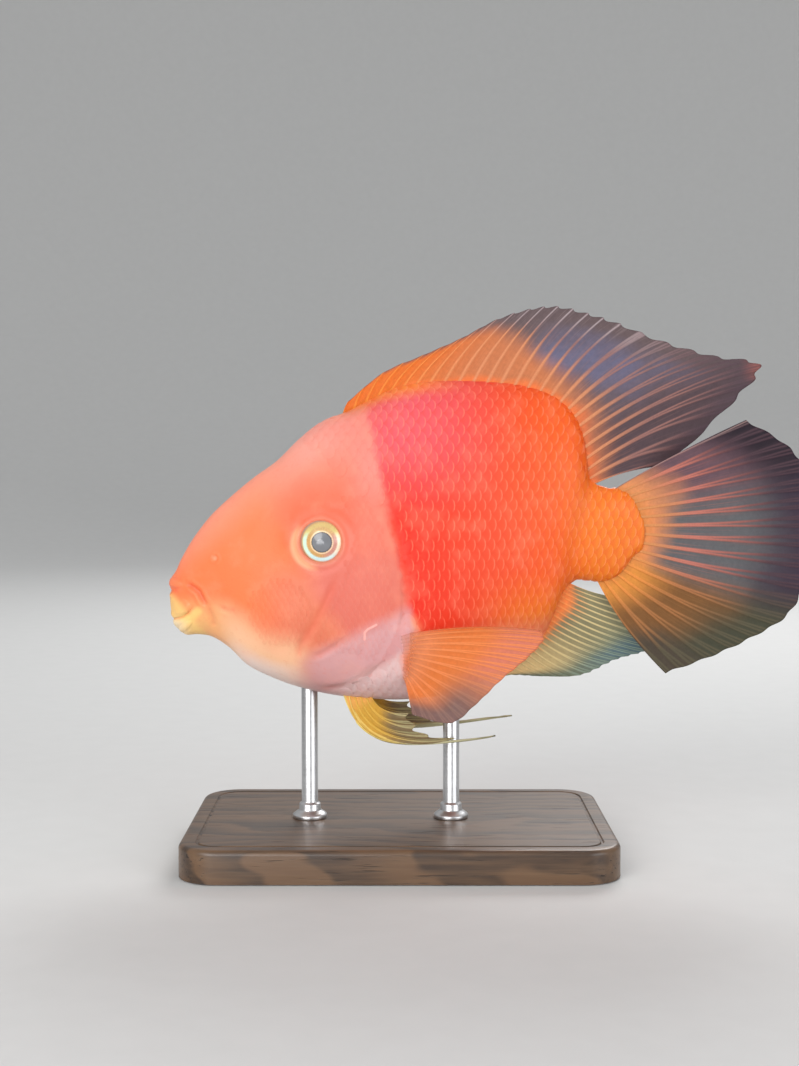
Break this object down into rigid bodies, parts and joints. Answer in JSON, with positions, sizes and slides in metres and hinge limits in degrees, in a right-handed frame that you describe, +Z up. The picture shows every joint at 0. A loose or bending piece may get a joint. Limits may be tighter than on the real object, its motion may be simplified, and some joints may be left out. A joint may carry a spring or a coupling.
{
  "type": "blood parrot cichlid model",
  "caption": "Still, life-size blood parrot cichlid with a beak-like mouth, deep body and rayed fins, held by rods on a plain display base.",
  "frame": {"origin": "centre of the stand base's underside, on the surface that it stands on", "axes": "+X from the mouth towards the tail fin, +Z up, the fish's left flank faces -Y"},
  "size_m": [0.2013, 0.086, 0.1718],
  "materials": {
    "head_skin": "moist satin skin, orange over the snout, pink on the nape and cheek, pale on the throat",
    "scaled_skin": "glossy overlapping scales, red-orange, more orange at the tail root",
    "fin": "thin satin membrane with raised rays, orange at the root and smoky violet-grey towards the edge",
    "eye": "wet clear cornea over a gold iris with a pale lower ring and a dark grey pupil",
    "base_wood": "dark oiled wood, satin",
    "rod_steel": "brushed"
  },
  "bodies": {
    "root": {"head": "head_skin", "lower_jaw": "head_skin", "gill_cover_left": "head_skin", "gill_cover_right": "head_skin", "eye_left": "eye", "eye_right": "eye", "trunk": "scaled_skin", "tail_root": "scaled_skin", "dorsal_fin": "fin", "anal_fin": "fin", "tail_fin": "fin", "pectoral_fin_left": "fin", "pectoral_fin_right": "fin", "pelvic_fin_left": "fin", "pelvic_fin_right": "fin", "stand_base": "base_wood", "stand_rod_front": "rod_steel", "stand_rod_rear": "rod_steel"}
  },
  "joints": []
}
